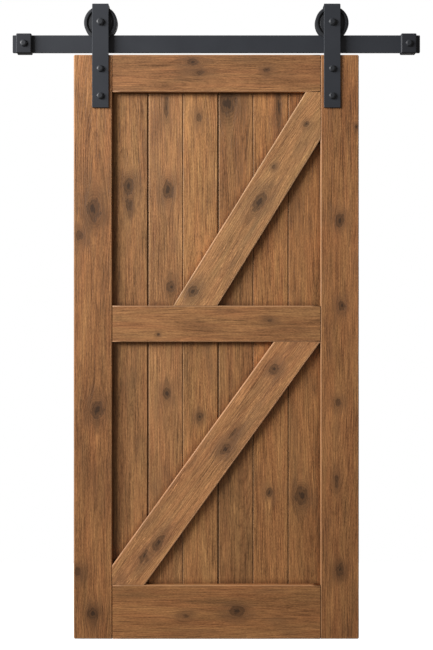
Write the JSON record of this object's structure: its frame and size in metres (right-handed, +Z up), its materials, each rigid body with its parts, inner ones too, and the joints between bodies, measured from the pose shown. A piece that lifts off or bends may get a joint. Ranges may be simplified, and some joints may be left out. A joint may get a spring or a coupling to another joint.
{
  "type": "sliding barn door",
  "caption": "Wooden sliding door of frame, braces and planks, hung on flanged wheels from a flat steel wall track.",
  "frame": {"origin": "midway between the two wall bolts, on the wall plane, at the height of the track's centreline", "axes": "+X along the track to the right of someone facing the door, +Y into the wall (the door's front faces -Y), +Z up"},
  "size_m": [1.49, 0.1265, 2.3168],
  "materials": {
    "stained_frame": "satin stained softwood",
    "stained_planks": "satin stained softwood",
    "dowel_wood": "plain beech",
    "black_powder_coat": "matte powder coat",
    "black_bolt": "satin black",
    "plain_steel": "turned",
    "bearing_steel": "ground",
    "cage_brass": "turned",
    "screw_steel": "zinc plated"
  },
  "bodies": {
    "track_assembly": {"track": "black_powder_coat", "left_end_stop": "black_powder_coat", "right_end_stop": "black_powder_coat", "left_wall_spacer": "black_powder_coat", "right_wall_spacer": "black_powder_coat", "left_wall_bolt": "black_bolt", "right_wall_bolt": "black_bolt"},
    "door": {"plank_1": "stained_planks", "plank_2": "stained_planks", "plank_3": "stained_planks", "plank_4": "stained_planks", "plank_5": "stained_planks", "plank_6": "stained_planks", "plank_7": "stained_planks", "plank_8": "stained_planks", "left_stile": "stained_frame", "right_stile": "stained_frame", "top_rail": "stained_frame", "middle_rail": "stained_frame", "bottom_rail": "stained_frame", "upper_brace": "stained_frame", "lower_brace": "stained_frame", "frame_screws": "screw_steel", "frame_dowels": "dowel_wood", "left_strap": "black_powder_coat", "left_strap_bolts": "black_bolt", "left_strap_washers": "black_bolt", "left_strap_nuts": "black_bolt", "left_axle_bolt": "black_bolt", "left_axle_nut": "black_bolt", "left_axle_bushes": "plain_steel", "left_inner_race": "bearing_steel", "right_strap": "black_powder_coat", "right_strap_bolts": "black_bolt", "right_strap_washers": "black_bolt", "right_strap_nuts": "black_bolt", "right_axle_bolt": "black_bolt", "right_axle_nut": "black_bolt", "right_axle_bushes": "plain_steel", "right_inner_race": "bearing_steel"},
    "left_wheel_body": {"left_wheel": "black_powder_coat", "left_retaining_ring": "plain_steel", "left_outer_race": "bearing_steel"},
    "left_ball_set": {"left_ball_cage": "cage_brass", "left_bearing_balls": "bearing_steel"},
    "right_wheel_body": {"right_wheel": "black_powder_coat", "right_retaining_ring": "plain_steel", "right_outer_race": "bearing_steel"},
    "right_ball_set": {"right_ball_cage": "cage_brass", "right_bearing_balls": "bearing_steel"}
  },
  "joints": [
    {"name": "door_slide", "type": "slide", "parent": "track_assembly", "child": "door", "axis": [1, 0, 0], "range_m": [-0.207, 0.207]},
    {"name": "left_wheel_roll", "type": "hinge", "parent": "door", "child": "left_wheel_body", "pos_m": [-0.422, -0.044, 0.0758], "axis": [0, 1, 0], "range_deg": [-272.8, 272.8]},
    {"name": "left_ball_roll", "type": "hinge", "parent": "door", "child": "left_ball_set", "pos_m": [-0.422, -0.044, 0.0758], "axis": [0, 1, 0], "range_deg": [-177.2, 177.2]},
    {"name": "right_wheel_roll", "type": "hinge", "parent": "door", "child": "right_wheel_body", "pos_m": [0.422, -0.044, 0.0758], "axis": [0, 1, 0], "range_deg": [-272.8, 272.8]},
    {"name": "right_ball_roll", "type": "hinge", "parent": "door", "child": "right_ball_set", "pos_m": [0.422, -0.044, 0.0758], "axis": [0, 1, 0], "range_deg": [-177.2, 177.2]}
  ],
  "couplings": [
    {"joint": "left_wheel_roll", "follows": "door_slide", "rad_per_m": 22.831},
    {"joint": "left_ball_roll", "follows": "door_slide", "rad_per_m": 14.771},
    {"joint": "right_wheel_roll", "follows": "door_slide", "rad_per_m": 22.831},
    {"joint": "right_ball_roll", "follows": "door_slide", "rad_per_m": 14.771}
  ]
}
